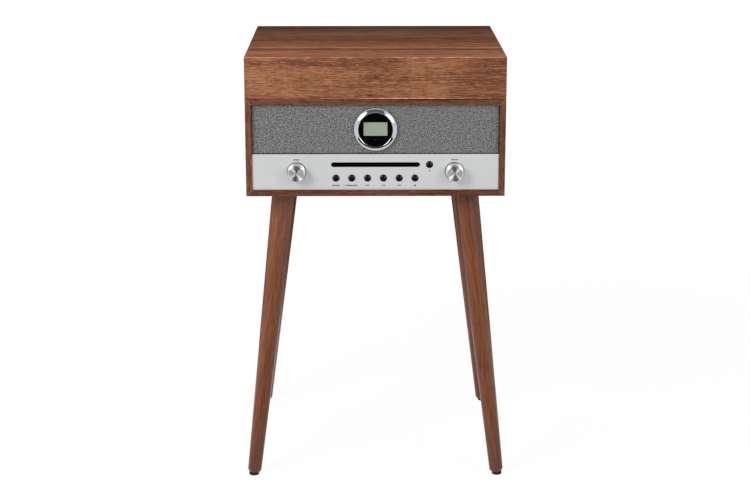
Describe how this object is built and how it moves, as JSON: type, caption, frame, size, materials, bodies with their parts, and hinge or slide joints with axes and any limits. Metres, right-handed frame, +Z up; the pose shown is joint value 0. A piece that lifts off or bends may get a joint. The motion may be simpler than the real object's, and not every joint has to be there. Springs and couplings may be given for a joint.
{
  "type": "stereo music centre",
  "caption": "Walnut record player console on splayed legs, with a hinged lid over a turntable, a round display, a disc slot and a silver control panel.",
  "frame": {"origin": "on the floor, at the middle of the box that holds the whole object", "axes": "+Z up, -Y out of the front with the controls, +X to the right of someone who faces the front"},
  "size_m": [0.391, 0.3713, 0.6439],
  "materials": {
    "walnut_lid_top": "satin lacquered veneer, grain from side to side",
    "walnut_front": "satin lacquered veneer, grain from side to side",
    "walnut_case": "satin lacquered veneer",
    "walnut_legs": "satin lacquered, grain along the leg",
    "back_board": "painted fibreboard",
    "baffle_board": "bare fibreboard",
    "cloth": "heather grey grille cloth",
    "silver_panel": "satin silver paint",
    "chrome_trim": "polished",
    "knob_metal": "turned satin face",
    "shaft_metal": "bare",
    "black_gloss": "moulded",
    "black_matte": "fine texture",
    "dark_lens": "smoked, polished",
    "lcd": "unlit display",
    "rubber": "matte",
    "felt": "felt",
    "steel": "zinc plated",
    "dark_steel": "black zinc",
    "brass": "polished",
    "arm_metal": "satin",
    "red_plastic": "moulded",
    "board_green": "solder resist",
    "speaker_black": "pressed steel with a paper cone"
  },
  "bodies": {
    "cabinet": {"bottom_board": "walnut_case", "side_boards": "walnut_case", "top_rails": "walnut_case", "back_panel": "back_board", "wood_screws": "dark_steel", "leg_plates": "dark_steel", "legs": "walnut_legs", "foot_pads": "rubber", "case_hinge_leaves": "brass", "stay_pivot": "steel", "deck_plate": "black_matte", "arm_rest": "black_matte", "drive_belt": "rubber", "turntable_motor": "steel", "tonearm_base": "black_matte", "front_baffle": "baffle_board", "speaker_cloth": "cloth", "display_bezel": "chrome_trim", "display_lens": "dark_lens", "lcd_module": "lcd", "control_panel": "silver_panel", "speaker_drivers": "speaker_black", "cd_mechanism": "dark_steel", "circuit_boards": "board_green", "rca_jacks": "brass", "power_inlet": "black_matte"},
    "lid": {"lid_top": "walnut_lid_top", "lid_front": "walnut_front", "lid_back": "walnut_case", "lid_sides": "walnut_case", "lid_hinge_leaves": "brass", "stay_stud": "steel"},
    "lid_stay": {"stay_arm": "steel"},
    "platter": {"platter": "black_matte", "slip_mat": "felt", "platter_spindle": "shaft_metal"},
    "pulley": {"motor_pulley": "brass"},
    "tonearm_yoke": {"tonearm_yoke": "arm_metal"},
    "tonearm": {"tonearm_tube": "arm_metal", "counterweight": "dark_steel", "headshell": "black_matte", "cartridge": "red_plastic"},
    "cue_lever": {"cue_lever": "black_gloss"},
    "cue_lifter": {"cue_lifter": "black_matte"},
    "speed_switch": {"speed_switch": "knob_metal"},
    "auto_stop_switch": {"auto_stop_switch": "knob_metal"},
    "tuning_control": {"tuning_knob": "knob_metal", "tuning_shaft": "shaft_metal"},
    "volume_control": {"volume_knob": "knob_metal", "volume_shaft": "shaft_metal"},
    "cd_hub": {"cd_hub": "black_matte"},
    "cd_roller": {"cd_roller": "rubber"},
    "power_rocker": {"power_rocker": "black_gloss"},
    "button_source": {"button_source": "black_gloss"},
    "button_function": {"button_function": "black_gloss"},
    "button_previous": {"button_previous": "black_gloss"},
    "button_play": {"button_play": "black_gloss"},
    "button_next": {"button_next": "black_gloss"},
    "button_stop": {"button_stop": "black_gloss"},
    "button_eject": {"button_eject": "black_gloss"}
  },
  "joints": [
    {"name": "lid_hinge", "type": "hinge", "parent": "cabinet", "child": "lid", "pos_m": [0, 0.18265, 0.5832], "axis": [-1, 0, 0], "range_deg": [0, 68]},
    {"name": "stay_swing", "type": "hinge", "parent": "cabinet", "child": "lid_stay", "pos_m": [0.1782, 0.15765, 0.5399], "axis": [-1, 0, 0], "range_deg": [0, 34]},
    {"name": "platter_spin", "type": "hinge", "parent": "cabinet", "child": "platter", "pos_m": [-0.024, 0.00435, 0.58], "axis": [0, 0, -1], "continuous": true},
    {"name": "pulley_spin", "type": "hinge", "parent": "cabinet", "child": "pulley", "pos_m": [-0.08375, 0.05449, 0.58], "axis": [0, 0, -1], "continuous": true},
    {"name": "tonearm_swing", "type": "hinge", "parent": "cabinet", "child": "tonearm_yoke", "pos_m": [0.14, 0.09235, 0.579], "axis": [0, 0, -1], "range_deg": [0, 41]},
    {"name": "tonearm_lift", "type": "hinge", "parent": "tonearm_yoke", "child": "tonearm", "pos_m": [0.14, 0.09235, 0.609], "axis": [-1, 0, 0], "range_deg": [0, 3.6]},
    {"name": "cue_lever", "type": "hinge", "parent": "cabinet", "child": "cue_lever", "pos_m": [0.158, 0.04335, 0.586], "axis": [-1, 0, 0], "range_deg": [0, 50]},
    {"name": "cue_lift", "type": "slide", "parent": "cabinet", "child": "cue_lifter", "axis": [0, 0, 1], "range_m": [0, 0.0034]},
    {"name": "speed_select", "type": "slide", "parent": "cabinet", "child": "speed_switch", "axis": [0, 1, 0], "range_m": [0, 0.012]},
    {"name": "auto_stop", "type": "slide", "parent": "cabinet", "child": "auto_stop_switch", "axis": [0, 1, 0], "range_m": [0, 0.006]},
    {"name": "tuning_turn", "type": "hinge", "parent": "cabinet", "child": "tuning_control", "pos_m": [-0.1159, -0.16865, 0.475], "axis": [0, 1, 0], "continuous": true},
    {"name": "volume_turn", "type": "hinge", "parent": "cabinet", "child": "volume_control", "pos_m": [0.1159, -0.16865, 0.475], "axis": [0, 1, 0], "range_deg": [0, 300]},
    {"name": "cd_hub_spin", "type": "hinge", "parent": "cabinet", "child": "cd_hub", "pos_m": [0, -0.09865, 0.4853], "axis": [0, 0, 1], "continuous": true},
    {"name": "cd_roller_spin", "type": "hinge", "parent": "cabinet", "child": "cd_roller", "pos_m": [0, -0.15565, 0.48], "axis": [1, 0, 0], "continuous": true},
    {"name": "power_rocker", "type": "hinge", "parent": "cabinet", "child": "power_rocker", "pos_m": [-0.094, 0.16735, 0.4855], "axis": [1, 0, 0], "range_deg": [0, 20]},
    {"name": "source_press", "type": "slide", "parent": "cabinet", "child": "button_source", "axis": [0, 1, 0], "range_m": [0, 0.001], "stiffness_N_per_m": 400, "springref_m": -0.0005},
    {"name": "function_press", "type": "slide", "parent": "cabinet", "child": "button_function", "axis": [0, 1, 0], "range_m": [0, 0.001], "stiffness_N_per_m": 400, "springref_m": -0.0005},
    {"name": "previous_press", "type": "slide", "parent": "cabinet", "child": "button_previous", "axis": [0, 1, 0], "range_m": [0, 0.001], "stiffness_N_per_m": 400, "springref_m": -0.0005},
    {"name": "play_press", "type": "slide", "parent": "cabinet", "child": "button_play", "axis": [0, 1, 0], "range_m": [0, 0.001], "stiffness_N_per_m": 400, "springref_m": -0.0005},
    {"name": "next_press", "type": "slide", "parent": "cabinet", "child": "button_next", "axis": [0, 1, 0], "range_m": [0, 0.001], "stiffness_N_per_m": 400, "springref_m": -0.0005},
    {"name": "stop_press", "type": "slide", "parent": "cabinet", "child": "button_stop", "axis": [0, 1, 0], "range_m": [0, 0.001], "stiffness_N_per_m": 400, "springref_m": -0.0005},
    {"name": "eject_press", "type": "slide", "parent": "cabinet", "child": "button_eject", "axis": [0, 1, 0], "range_m": [0, 0.001], "stiffness_N_per_m": 400, "springref_m": -0.0005}
  ],
  "couplings": [
    {"joint": "stay_swing", "follows": "lid_hinge", "ratio": 0.5},
    {"joint": "pulley_spin", "follows": "platter_spin", "ratio": 15},
    {"joint": "tonearm_lift", "follows": "cue_lift", "rad_per_m": 18.4},
    {"joint": "cue_lever", "follows": "cue_lift", "rad_per_m": 256.5}
  ]
}
